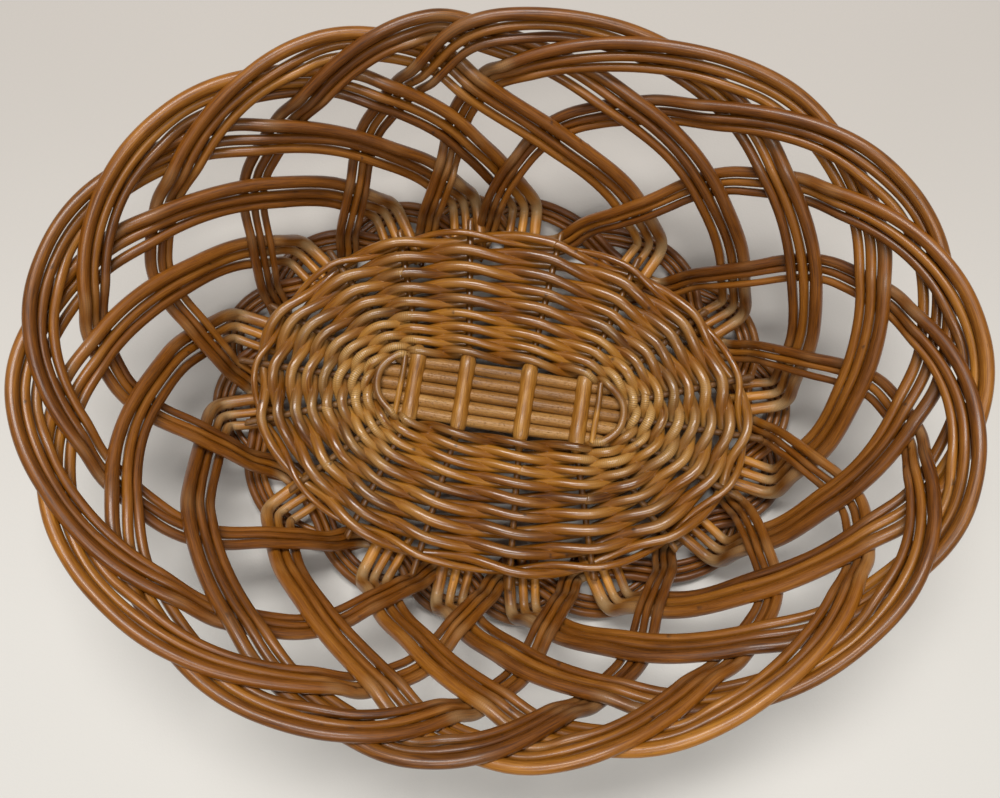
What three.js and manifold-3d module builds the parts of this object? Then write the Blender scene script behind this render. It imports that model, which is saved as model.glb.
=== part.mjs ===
// Oval openwork willow basket. A woven base carries sixteen groups of three rods, which rise
// from its edge, cross over and under each other, arch over as the rim, come down again and
// end as the scallops of the foot. Millimetres, +Z up, standing on z = 0.
import * as THREE from 'three';
import Module from 'manifold-3d';
import { mergeVertices } from 'three/addons/utils/BufferGeometryUtils.js';

// ---- driving dimensions -------------------------------------------------------------------
const RIM_LENGTH = 400;            // over the rods, along X
const RIM_WIDTH = 316;             // over the rods, along Y
const HEIGHT = 120;                // floor to the top of the rim
const BASE_LENGTH = 264;           // over the outer row of the base
const BASE_WIDTH = 182;
const BASE_TURN = 7;               // degrees that the base lies clockwise of the rim
const FOOT_REACH = 25;             // how far the foot stands out past the base edge

const ROD_BUTT = 5.0;              // thickness of a side rod where it leaves the base
const ROD_TAPER = 0.23;            // thickness lost over each group spacing along the rod
const RODS_IN_GROUP = 3;
const ROD_GAP = 0.5;               // between groups where they cross

const OPEN_LENGTH = 123;           // the unwoven middle of the base
const LONG_STICK = 6.3;            // lengthwise sticks in the open middle
const LONG_GAP = 0.5;              // between the lengthwise sticks
const CROSS_STICK = 8.4;           // cross sticks in the open middle
const STICK_TIP = 4.8;             // every base stick where the weaving holds it
const TIE_STICK = 3;
const WEAVER = 3.8;                // thickness of one weave row
const WALE = 3.8;                  // thickness of the outer row
const WALE_WIDTH = 7.2;
const ROW_COUNT = 8;
const ROW_GROWTH = 1.6;            // width of the last weave row against the first
const ROW_GAP = 0.5;
const FIRST_ROW_GAP = 1.6;         // from the mouths of the sticks to the first row
const OPEN_MARGIN = 2.2;           // beside the outer lengthwise sticks
const ROW_FILL = 0.86;             // width of a row as a share of the row spacing
const FIT = 0.3;                   // clearance between pieces that touch

// Where each group leaves the base, in degrees round the oval.
const GROUP_ANGLES = [14, 39, 63, 91, 104, 121, 144, 170, 196, 225, 250, 266, 281, 300, 326, 349];
// Where each base stick meets the base edge, in the same degrees.
const LONG_ENDS = [-42, -19.4, 0, 19.4, 42];
// A cross stick: its place along the open middle, and where it meets the edge.
const CROSS_PLACES = [[42, 63], [13, 82], [-19.5, 103], [-45.5, 120]];
const TIE_PLACES = [-52, 50];

// ---- values that follow -------------------------------------------------------------------
const GROUPS = GROUP_ANGLES.length;
const SPAN = 5.6;                  // group spacings from leaving the base to coming back to it
const FOOT_FLAT = 7.12;            // from here to its end a group lies flat on the floor
const FOOT_END = 7.9;
const rodAt = (turn) => ROD_BUTT - ROD_TAPER * THREE.MathUtils.clamp(turn, 0, FOOT_FLAT);
const LONG_PITCH = LONG_STICK + LONG_GAP;
const OPEN_WIDTH = LONG_ENDS.length * LONG_PITCH + 2 * OPEN_MARGIN;
const LIFT = (ROD_BUTT + ROD_GAP) / 2;         // shift in or out of the wall at a crossing

const FOOT_LOW = rodAt(FOOT_END) / 2;
const FOOT_HIGH = rodAt(7.4) + FIT + 0.1 + rodAt(6) / 2;
const BUTT_Z = FOOT_HIGH + rodAt(5.6) / 2 + FIT + ROD_BUTT / 2;
const ROW_SWING = (STICK_TIP + WEAVER) / 2 + FIT;
const WALE_SWING = (STICK_TIP + WALE) / 2 + FIT;
const ROW_DEPTH = Math.max(WALE_SWING + WALE / 2, ROW_SWING + WEAVER / 2);
const BASE_Z = BUTT_Z + ROD_BUTT / 2 + FIT + ROW_DEPTH;

const EDGE_A = BASE_LENGTH / 2;
const EDGE_B = BASE_WIDTH / 2;
const WALL_FOOT = { out: 8, up: BASE_Z + 2 };
const GROUP_WIDTH = RODS_IN_GROUP * rodAt(SPAN / 2);
const RIM_PROUD = 0.9 * LIFT + rodAt(SPAN / 2) / 2;
const RIM_TOP = { a: RIM_LENGTH / 2 - RIM_PROUD, b: RIM_WIDTH / 2 - RIM_PROUD,
                  up: HEIGHT - GROUP_WIDTH * 0.46 };

// ---- small tools --------------------------------------------------------------------------
const rad = THREE.MathUtils.degToRad;
const mix = THREE.MathUtils.lerp;
const UP = new THREE.Vector3(0, 0, 1);
const DOWN = new THREE.Vector3(0, 0, -1);

// Smooth value through [place, value] pairs, level at each of them.
function steps(pairs, place) {
  const after = pairs.findIndex(([at]) => at > place);
  if (after === 0) return pairs[0][1];
  if (after < 0) return pairs[pairs.length - 1][1];
  const [from, low] = pairs[after - 1];
  const [to, high] = pairs[after];
  return mix(low, high, THREE.MathUtils.smoothstep(place, from, to));
}

// Angle of the oval at a fractional group number, smooth through the sixteen starts.
function groupAngle(number) {
  const whole = Math.floor(number);
  const start = (n) => GROUP_ANGLES[((n % GROUPS) + GROUPS) % GROUPS] + 360 * Math.floor(n / GROUPS);
  const [p0, p1, p2, p3] = [-1, 0, 1, 2].map((n) => start(whole + n));
  const t = number - whole;
  const slope1 = (p2 - p0) / 2;
  const slope2 = (p3 - p1) / 2;
  const rise = p2 - p1;
  return rad(p1 + t * (slope1 + t * (3 * rise - 2 * slope1 - slope2 + t * (slope1 + slope2 - 2 * rise))));
}

// Point on the oval of half sizes a and b, turned by a share of the base's turn.
function oval(angle, a, b, up, turned) {
  const point = new THREE.Vector3(a * Math.cos(angle), b * Math.sin(angle), up);
  return point.applyAxisAngle(UP, rad(-BASE_TURN * turned));
}

const onFrame = ({ centre, side, face }, [across, through]) => (
  centre.clone().addScaledVector(side, across).addScaledVector(face, through)
);

// One closed body through rings of points, each ring with the same number of points.
function skin(rings, closed) {
  const vertices = rings.flat();
  const ring = rings[0].length;
  const triangles = [];
  const spans = closed ? rings.length : rings.length - 1;
  for (let row = 0; row < spans; row += 1) {
    const next = (row + 1) % rings.length;
    for (let k = 0; k < ring; k += 1) {
      const l = (k + 1) % ring;
      const [a, b] = [row * ring + k, row * ring + l];
      const [c, d] = [next * ring + k, next * ring + l];
      triangles.push(a, b, d, a, d, c);
    }
  }
  if (!closed) {
    const last = (rings.length - 1) * ring;
    for (let k = 1; k < ring - 1; k += 1) {
      triangles.push(0, k + 1, k, last, last + k, last + k + 1);
    }
  }
  const geometry = new THREE.BufferGeometry().setFromPoints(vertices);
  geometry.setIndex(triangles);
  return geometry;
}

// Sweeps an outline [[across, through], ...] along frames.
function sweep(frames, outlineAt, closed) {
  return skin(frames.map((frame) => outlineAt(frame).map((corner) => onFrame(frame, corner))), closed);
}

// Frames along a list of {point, face}, with face made square to the direction of travel.
function frameFor(centre, along, face) {
  const side = face.clone().cross(along).normalize();
  return { centre, side, face: along.clone().cross(side), along };
}

function framesAlong(places, closed) {
  const count = places.length;
  return places.map(({ point, face, ...rest }, index) => {
    const before = places[closed ? (index + count - 1) % count : Math.max(index - 1, 0)].point;
    const after = places[closed ? (index + 1) % count : Math.min(index + 1, count - 1)].point;
    return { ...frameFor(point, after.clone().sub(before).normalize(), face), ...rest };
  });
}

const flatHexagon = (width, thickness) => [
  [width / 2, 0], [width * 0.36, thickness / 2], [-width * 0.36, thickness / 2],
  [-width / 2, 0], [-width * 0.36, -thickness / 2], [width * 0.36, -thickness / 2],
];

function roundOutline(diameter, sides = 8) {
  return Array.from({ length: sides }, (_, k) => {
    const angle = (2 * Math.PI * (k + 0.5)) / sides;
    return [Math.cos(angle) * diameter / 2, Math.sin(angle) * diameter / 2];
  });
}

// ---- side groups --------------------------------------------------------------------------
const CROWN = 0.12;                // roundness of the top of a group's arch
const ARCH = 1.3;                  // how gently the arch leaves the rim
const FULLNESS = 0.75;             // how steeply it leaves the base, steeper when smaller

// Height up the wall, 0 at the base and 1 at the rim, after some spacings of travel.
function wallShare(turn) {
  const soften = (x) => Math.sqrt(x * x + CROWN * CROWN) - CROWN;
  const fall = soften(1 - turn / (SPAN / 2)) / soften(1);
  return Math.max(1 - fall ** ARCH, 0) ** FULLNESS;
}

// Each group crosses five others on its way up and five on its way down. Where it crosses the
// group that left the base k places before it, it passes outside (+1) or inside (-1) of it.
const PASSES = { 5: 1, 4: -1, 3: -1, 2: 1, 1: 1 };
const CROSSINGS = Object.entries(PASSES)
  .map(([k, pass]) => ({ at: (SPAN - k) / 2, pass }))
  .flatMap(({ at, pass }) => [{ at, pass }, { at: SPAN - at, pass: -pass }])
  .sort((one, two) => one.at - two.at);

// The two ends of a group, outside the wall: place along the rod counted in group spacings,
// spacings travelled round the basket, reach past the base edge, height, and how far its flat
// side has turned from lying in the wall (0) to facing down (1).
const BUTT_END = [
  [-0.4, 0, -14, BUTT_Z, 1], [-0.14, 0, 0, BUTT_Z, 1], [-0.02, 0, 6.5, BUTT_Z, 1],
  [0.03, 0.01, 11.5, BUTT_Z + 3.5, 0.6], [0.07, 0.04, 13.5, BASE_Z, 0.15],
];
const FOOT_PATH = [
  [5.5, 8, BASE_Z - 1, 0.2], [5.57, 3.5, BUTT_Z + 1, 0.6], [5.65, 0, FOOT_HIGH + 1, 0.9],
  [5.78, -2, FOOT_HIGH, 1], [6, -1.5, FOOT_HIGH, 1], [6.25, 3, FOOT_HIGH, 1],
  [6.5, FOOT_REACH - 13.5, FOOT_HIGH, 1], [6.72, FOOT_REACH - 8.5, FOOT_HIGH - 0.2, 1],
  [6.94, FOOT_REACH - 6, mix(FOOT_LOW, FOOT_HIGH, 0.5), 1], [FOOT_FLAT, FOOT_REACH - 6.8, FOOT_LOW, 1],
  [7.3, FOOT_REACH - 9.5, FOOT_LOW, 1], [7.5, FOOT_REACH - 15, FOOT_LOW, 1],
  [7.7, -1.5, FOOT_LOW, 1], [FOOT_END, -11, FOOT_LOW, 1],
].map(([turn, ...rest]) => [turn, turn, ...rest]);
const WALL_STEP = 0.125;
const SLOPE = 0.1;                 // spacings over which a group moves in or out of the wall

function wallPoint(angle, share) {
  const a = mix(EDGE_A + WALL_FOOT.out, RIM_TOP.a, share);
  const b = mix(EDGE_B + WALL_FOOT.out, RIM_TOP.b, share);
  return oval(angle, a, b, mix(WALL_FOOT.up, RIM_TOP.up, share), 1 - share);
}

function wallFace(angle, share) {
  const nudge = 0.01;
  const round = wallPoint(angle + nudge, share).sub(wallPoint(angle - nudge, share));
  const climb = wallPoint(angle, share + nudge).sub(wallPoint(angle, share - nudge));
  return round.cross(climb).normalize();
}

// The path of one group as frames at any place along it.
function groupPath(number) {
  const stations = [];
  const addEnd = ([place, turn, out, up, tip]) => {
    const angle = groupAngle(number + turn);
    const face = wallFace(angle, 0).lerp(DOWN, tip).normalize();
    stations.push({ place, point: oval(angle, EDGE_A + out, EDGE_B + out, up, 1), face });
  };
  BUTT_END.forEach(addEnd);
  for (let turn = 0.14; turn < 5.44; turn += WALL_STEP) {
    const angle = groupAngle(number + turn);
    const share = wallShare(turn);
    stations.push({ place: turn, point: wallPoint(angle, share), face: wallFace(angle, share) });
  }
  FOOT_PATH.forEach(addEnd);
  const curve = new THREE.CatmullRomCurve3(stations.map(({ point }) => point), false, 'catmullrom');
  const last = stations.length - 1;
  return (place) => {
    const after = THREE.MathUtils.clamp(stations.findIndex((one) => one.place > place), 1, last);
    const index = place >= stations[last].place ? last : after;
    const [from, to] = [stations[index - 1], stations[index]];
    const part = THREE.MathUtils.clamp((place - from.place) / (to.place - from.place), 0, 1);
    const along = (index - 1 + part) / last;
    return frameFor(curve.getPoint(along), curve.getTangent(along), from.face.clone().lerp(to.face, part));
  };
}

// How steeply a group climbs in the wall, and how far one spacing of travel takes it.
function slopeAt(path, place) {
  const { along, face } = path(place);
  const round = UP.clone().cross(face).normalize();
  const climb = Math.atan2(along.dot(face.clone().cross(round)), along.dot(round));
  const length = path(place + 0.02).centre.distanceTo(path(place - 0.02).centre) / 0.04;
  return { climb, length };
}

// The stretch of a path that crosses each other group. Its cross-section leans there to lie
// along that group's edges, so lean is how much further on its upper edge is, per mm of width.
function crossingsOf(path) {
  return CROSSINGS.map(({ at, pass }) => {
    const { climb, length } = slopeAt(path, at);
    const other = (RODS_IN_GROUP * rodAt(SPAN - at)) / 2 + ROD_GAP;
    const half = Math.min(other / Math.abs(Math.sin(2 * climb)) / length, 0.24);
    return { from: at - half, to: at + half, shift: pass * LIFT, lean: 1 / Math.tan(2 * climb) / length };
  });
}

// Places along a group where its cross-section is set: every bend of its two ends, and the
// start and end of every crossing, with more between them.
function sectionPlaces(crossings) {
  const fixed = crossings.flatMap(({ from, to }) => [from, to]);
  const [first, last] = [fixed[0] - SLOPE, fixed[fixed.length - 1] + SLOPE];
  const inWall = [first, ...fixed, last];
  const between = inWall.slice(1).flatMap((place, index) => {
    const gap = place - inWall[index];
    const parts = Math.max(Math.ceil(gap / WALL_STEP - 0.25), 1);
    return Array.from({ length: parts - 1 }, (_, part) => inWall[index] + (gap * (part + 1)) / parts);
  });
  const ends = [...BUTT_END, ...FOOT_PATH].map(([place]) => place);
  const outside = ends.filter((place) => place < first - 0.01 || place > last + 0.01);
  return [...inWall, ...between, ...outside].sort((one, two) => one - two);
}

// Rods are pressed together where a group coming down squeezes in beside one going up.
const TIGHTEST = Math.min(...GROUP_ANGLES.map((_, number) => (
  wallPoint(groupAngle(number + 1), 0).distanceTo(wallPoint(groupAngle(number), 0))
)));
const SQUEEZE = (TIGHTEST * (6 - SPAN) - ROD_GAP) / (RODS_IN_GROUP * (rodAt(0) + rodAt(SPAN)) / 2);
const BUNCHED = [[0, SQUEEZE], [0.3, 1], [5.2, 1], [5.6, SQUEEZE], [6.1, SQUEEZE], [6.4, 1]];

function sideGroup(number) {
  const path = groupPath(number);
  const crossings = crossingsOf(path);
  const along = (value) => {
    const level = crossings.flatMap(({ from, to, [value]: amount }) => [[from, amount], [to, amount]]);
    return [[level[0][0] - SLOPE, 0], ...level, [level[level.length - 1][0] + SLOPE, 0]];
  };
  const [shifts, leans] = [along('shift'), along('lean')];
  const rings = sectionPlaces(crossings).map((place) => {
    const rod = rodAt(place);
    const bunched = steps(BUNCHED, place);
    const [shift, lean] = [steps(shifts, place), steps(leans, place)];
    return flatHexagon(RODS_IN_GROUP * rod * bunched, rod).map(([across, through]) => (
      onFrame(path(place - across * lean), [across, through + shift])
    ));
  });
  return skin(rings, false);
}

// ---- base ---------------------------------------------------------------------------------
// The base is laid out square to its own sticks and turned as a whole at the end.
const OPEN_CORNER = 3;             // squareness of the open middle; the edge is a true oval (2)
const STICK_END = 1.5;             // how far a stick's cut end shows past the base edge
const MOUTH_FADE = 6;              // length over which a stick thins to its woven thickness

const OPEN_A = OPEN_LENGTH / 2;
const OPEN_B = OPEN_WIDTH / 2;
const openHalf = (along, a, b) => b * (1 - (Math.abs(along) / a) ** OPEN_CORNER) ** (1 / OPEN_CORNER);

// A half stick: its mouth at the open middle, and where it meets the base edge.
function stickRun(x, y, endAngle) {
  const mouth = new THREE.Vector3(x, y, 0);
  const end = new THREE.Vector3(EDGE_A * Math.cos(rad(endAngle)), EDGE_B * Math.sin(rad(endAngle)), 0);
  const way = end.clone().sub(mouth).normalize();
  return { mouth, end, way, order: (endAngle + 360) % 360 };
}

const longRuns = LONG_ENDS.map((angle, row) => [1, -1].map((side) => {
  const y = (row - (LONG_ENDS.length - 1) / 2) * LONG_PITCH;
  return stickRun(side * openHalf(y, OPEN_B, OPEN_A), y, side > 0 ? angle : 180 - angle);
}));
const crossRuns = CROSS_PLACES.map(([x, angle]) => [1, -1].map((side) => (
  stickRun(x, side * openHalf(x, OPEN_A, OPEN_B), side * angle)
)));
const RUNS = [...longRuns, ...crossRuns].flat().sort((one, two) => one.order - two.order);
const LONG_RUNS = new Set(longRuns.flat());

const lay = (geometry) => geometry.rotateZ(rad(-BASE_TURN)).translate(0, 0, BASE_Z);

// One stick, from the tip of its far run to the tip of its near run.
function stick([near, far], middle, outlineAt) {
  const half = ({ mouth, end, way }, inner) => [
    ...inner, [mouth.clone().addScaledVector(way, MOUTH_FADE), STICK_TIP, 1],
    [end.clone().addScaledVector(way, STICK_END), STICK_TIP, 1],
  ];
  const places = [...half(far, middle(far)).reverse(), ...half(near, middle(near))];
  const line = places.map(([point, diameter, rise]) => ({ point, diameter, rise, face: UP }));
  return sweep(framesAlong(line, false), outlineAt, false);
}

function longStick(row) {
  return lay(stick(longRuns[row], ({ mouth }) => [[mouth, LONG_STICK, 1]], ({ diameter }) => roundOutline(diameter)));
}

const wasm = await Module();
wasm.setup();

function solid(geometry) {
  const plain = geometry.clone();
  plain.deleteAttribute('normal');
  plain.deleteAttribute('uv');
  const merged = mergeVertices(plain, 1e-4);
  const mesh = new wasm.Mesh({ numProp: 3, vertProperties: merged.attributes.position.array,
                               triVerts: new Uint32Array(merged.index.array) });
  return new wasm.Manifold(mesh);
}

function fromSolid(body) {
  const mesh = body.getMesh();
  const geometry = new THREE.BufferGeometry();
  geometry.setAttribute('position', new THREE.BufferAttribute(mesh.vertProperties, 3));
  geometry.setIndex(new THREE.BufferAttribute(mesh.triVerts, 1));
  return geometry;
}

// A cross stick is split in the middle, and the lengthwise sticks lie in the split.
const SPLIT = [LONG_ENDS.length * LONG_PITCH + FIT, LONG_STICK + 2 * FIT];
const SPLIT_WALL = 1.4;

function crossStick(index) {
  const [x] = CROSS_PLACES[index];
  const shoulder = SPLIT[0] / 2 + 0.3;
  const swell = (SPLIT[1] + 2 * SPLIT_WALL) / CROSS_STICK;
  const middle = ({ mouth }) => {
    const side = Math.sign(mouth.y);
    const at = (y) => new THREE.Vector3(x, side * y, 0);
    return [[at(shoulder), CROSS_STICK, swell], [at(shoulder + 1.5), LONG_STICK - 0.5, 1]];
  };
  const whole = stick(crossRuns[index], middle, ({ diameter, rise }) => (
    roundOutline(diameter).map(([across, through]) => [across, through * rise])
  ));
  const split = new THREE.BoxGeometry(CROSS_STICK * 2, SPLIT[0], SPLIT[1]).translate(x, 0, 0);
  return lay(fromSolid(solid(whole).subtract(solid(split))));
}

// One weave row, at a share of the way from the open middle to the edge: level over or under
// each stick for a little more than the stick's thickness, and sloping between them.
function weaveRow(share, width, thickness, swingAt, stickThickness = STICK_TIP) {
  const spots = RUNS.map(({ mouth, end }) => mouth.clone().lerp(end, share));
  const places = RUNS.flatMap((run, index) => {
    const next = spots[(index + 1) % spots.length];
    const before = spots[(index + spots.length - 1) % spots.length];
    const along = next.clone().sub(before).normalize();
    const level = (stickThickness / 2 + 0.6) / run.way.clone().cross(along).length();
    return [-level, level].map((ahead) => {
      const point = spots[index].clone().addScaledVector(along, ahead);
      point.z = swingAt(run, index);
      return { point, face: UP };
    });
  });
  return lay(sweep(framesAlong(places, true), () => flatHexagon(width, thickness), true));
}

function tieStick(x) {
  const half = ((LONG_ENDS.length - 1) / 2) * LONG_PITCH + 0.6;
  const lift = (LONG_STICK + TIE_STICK) / 2 + FIT;
  const places = [-half, half].map((y) => ({ point: new THREE.Vector3(x, y, lift), face: UP }));
  return lay(sweep(framesAlong(places, false), () => roundOutline(TIE_STICK, 6), false));
}

// ---- the basket ---------------------------------------------------------------------------
const FINISH = {
  side: { color: 0x9a5a1e, roughness: 0.42 },
  weaver: { color: 0xa0662a, roughness: 0.38 },
  stick: { color: 0x9c7a4e, roughness: 0.6 },
  cross: { color: 0xb07c38, roughness: 0.45 },
};

function piece(name, geometry, finish) {
  const material = new THREE.MeshStandardMaterial({ ...FINISH[finish], metalness: 0 });
  const mesh = new THREE.Mesh(geometry, material);
  mesh.name = name;
  return mesh;
}

const two = (number) => String(number).padStart(2, '0');
const basket = new THREE.Group();

for (let number = 0; number < GROUPS; number += 1) {
  basket.add(piece(`side_rods_${two(number + 1)}`, sideGroup(number), 'side'));
}
LONG_ENDS.forEach((_, row) => basket.add(piece(`long_stick_${row + 1}`, longStick(row), 'stick')));
CROSS_PLACES.forEach((_, index) => {
  basket.add(piece(`cross_stick_${index + 1}`, crossStick(index), 'cross'));
});
basket.add(piece('tie_stick_left', tieStick(TIE_PLACES[0]), 'cross'));
basket.add(piece('tie_stick_right', tieStick(TIE_PLACES[1]), 'cross'));

// The first row binds each fan of lengthwise sticks together; the others take them one by one.
const rowStart = FIRST_ROW_GAP / (EDGE_A - OPEN_A);
const rowsWithin = (row) => row * (1 + (ROW_GROWTH - 1) * (row - 1) / 2 / (ROW_COUNT - 1));
const rowsSpan = 1 - rowStart - (WALE_WIDTH + ROW_GAP) / (EDGE_A - OPEN_A);
const firstPitch = rowsSpan / rowsWithin(ROW_COUNT);
const rowPitch = (row) => firstPitch * (rowsWithin(row + 1) - rowsWithin(row));
const rowShare = (row) => rowStart + firstPitch * rowsWithin(row) + rowPitch(row) / 2;
const rowWidth = (row) => rowPitch(row) * (EDGE_B - OPEN_B) * ROW_FILL;
const alternate = (swing) => (run, index) => (index % 2 === 0 ? swing : -swing);
const firstSwing = (LONG_STICK + WEAVER) / 2 + FIT;
const binding = (run, index) => {
  if (LONG_RUNS.has(run)) return Math.sign(run.mouth.x) * firstSwing;
  return index % 2 === 0 ? firstSwing : -firstSwing;
};
const firstRow = weaveRow(rowShare(0), rowWidth(0), WEAVER, binding, LONG_STICK);
basket.add(piece('weave_row_01', firstRow, 'weaver'));
for (let row = 1; row < ROW_COUNT; row += 1) {
  const swing = alternate(row % 2 === 0 ? ROW_SWING : -ROW_SWING);
  const geometry = weaveRow(rowShare(row), rowWidth(row), WEAVER, swing);
  basket.add(piece(`weave_row_${two(row + 1)}`, geometry, 'weaver'));
}
const waleShare = 1 - WALE_WIDTH / 2 / (EDGE_A - OPEN_A);
basket.add(piece('outer_row', weaveRow(waleShare, WALE_WIDTH, WALE, alternate(WALE_SWING)), 'weaver'));

const box = new THREE.Box3().setFromObject(basket);
const centre = box.getCenter(new THREE.Vector3());
basket.position.set(-centre.x, -centre.y, 0);

export default basket;
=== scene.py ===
import math

import bpy
import numpy as np
from mathutils import Matrix, Vector


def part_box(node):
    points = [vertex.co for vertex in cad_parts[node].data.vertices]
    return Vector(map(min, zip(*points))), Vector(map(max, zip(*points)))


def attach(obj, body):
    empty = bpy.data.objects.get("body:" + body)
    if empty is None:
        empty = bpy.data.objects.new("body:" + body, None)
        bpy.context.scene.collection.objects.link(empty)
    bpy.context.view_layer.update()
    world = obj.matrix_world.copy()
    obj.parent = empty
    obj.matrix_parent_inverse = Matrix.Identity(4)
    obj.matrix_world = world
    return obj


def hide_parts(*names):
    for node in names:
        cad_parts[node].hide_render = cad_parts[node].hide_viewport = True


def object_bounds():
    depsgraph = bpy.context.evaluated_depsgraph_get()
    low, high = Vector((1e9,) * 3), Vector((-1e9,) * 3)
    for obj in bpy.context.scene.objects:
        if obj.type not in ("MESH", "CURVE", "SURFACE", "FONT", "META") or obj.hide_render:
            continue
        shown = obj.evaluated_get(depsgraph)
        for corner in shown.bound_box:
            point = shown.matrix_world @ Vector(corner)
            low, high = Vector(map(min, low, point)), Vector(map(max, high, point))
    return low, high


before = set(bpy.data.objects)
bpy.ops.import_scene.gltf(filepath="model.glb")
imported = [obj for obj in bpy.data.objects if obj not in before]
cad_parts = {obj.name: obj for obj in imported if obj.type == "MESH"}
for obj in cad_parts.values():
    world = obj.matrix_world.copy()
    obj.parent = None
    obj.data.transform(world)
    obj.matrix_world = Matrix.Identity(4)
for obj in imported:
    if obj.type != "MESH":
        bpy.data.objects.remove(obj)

cad_box = [list(corner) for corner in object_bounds()]

# ==== Lengthwise base sticks ====================================================================
# Five peeled willow sticks lie side by side along the middle of the base and fan out from there.
# They are pale and pitted, with the varnish worn thin, and their cut ends show past the weaving.
# Where the weaving covers them they are darkened, as painted shade.

MM = 0.001
BASE_TURN = math.radians(-7)
EDGE_A, EDGE_B = 132.0, 91.0          # half sizes of the base over its outer row
OPEN_A, OPEN_B = 61.5, 19.2           # half sizes of the unwoven middle
OPEN_CORNER = 3                       # squareness of the unwoven middle
LONG_STICK, LONG_PITCH = 6.6, 6.8
STICK_LOW = -0.6                      # the thick part of a lengthwise stick, below the middle
STICK_TIP = 3.6                       # every base stick where the weaving holds it
STICK_SAG = -1.3                      # the weaving presses the thin part of a stick down
# The covered age lets the material darken a stick under the weaving: painted shade.
PEELED_AGE = (0.2, 0.7)               # age of a stick, for its finish: in the open, and covered
LONG_ENDS = [-42, -19.4, 0, 19.4, 42] # angles at which they meet the base edge

stick_low, stick_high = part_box("long_stick_3")
row_low, row_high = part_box("outer_row")
base_centre = np.array((row_low + row_high) / 2) / MM
base_centre[2] = (stick_low.z + stick_high.z) / 2 / MM


def on_base(points):
    """Points laid out square to the base sticks, turned and lifted to where the base lies."""
    cos, sin = math.cos(BASE_TURN), math.sin(BASE_TURN)
    x, y, z = np.asarray(points, float).T
    return np.stack([x * cos - y * sin, x * sin + y * cos, z], 1) + base_centre


def smooth_line(points, step):
    """A smooth line through the points, with a point every step mm. Columns after x, y, z ride along."""
    points = np.asarray(points, float)
    ends = np.vstack([2 * points[0] - points[1], points, 2 * points[-1] - points[-2]])
    t = np.linspace(0, 1, 17)[:-1, None]
    spans = []
    for p0, p1, p2, p3 in zip(ends, ends[1:], ends[2:], ends[3:]):
        bend = (2 * p0 - 5 * p1 + 4 * p2 - p3) * t**2 + (3 * p1 - p0 - 3 * p2 + p3) * t**3
        spans.append(p1 + (p2 - p0) * t / 2 + bend / 2)
    return even_line(np.vstack([*spans, points[-1:]]), step)


def even_line(points, step):
    """The same line with its points step mm apart."""
    along = np.r_[0, np.cumsum(np.linalg.norm(np.diff(points[:, :3], axis=0), axis=1))]
    places = np.linspace(0, along[-1], max(int(along[-1] / step), 3) + 1)
    return np.stack([np.interp(places, along, column) for column in points.T], 1)


def drift(rng, along, wave):
    """A slow random swing between about -1 and 1, with bends roughly every wave mm."""
    phases = rng.uniform(0, 2 * math.pi, 3)
    lengths = wave * rng.uniform(0.8, 1.3, 3) * np.array([1, 1.9, 3.1])
    waves = [np.sin(2 * math.pi * along / length + phase) for length, phase in zip(lengths, phases)]
    return sum(waves) / 2


def unit(vectors):
    return vectors / np.linalg.norm(vectors, axis=-1, keepdims=True)


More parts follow.
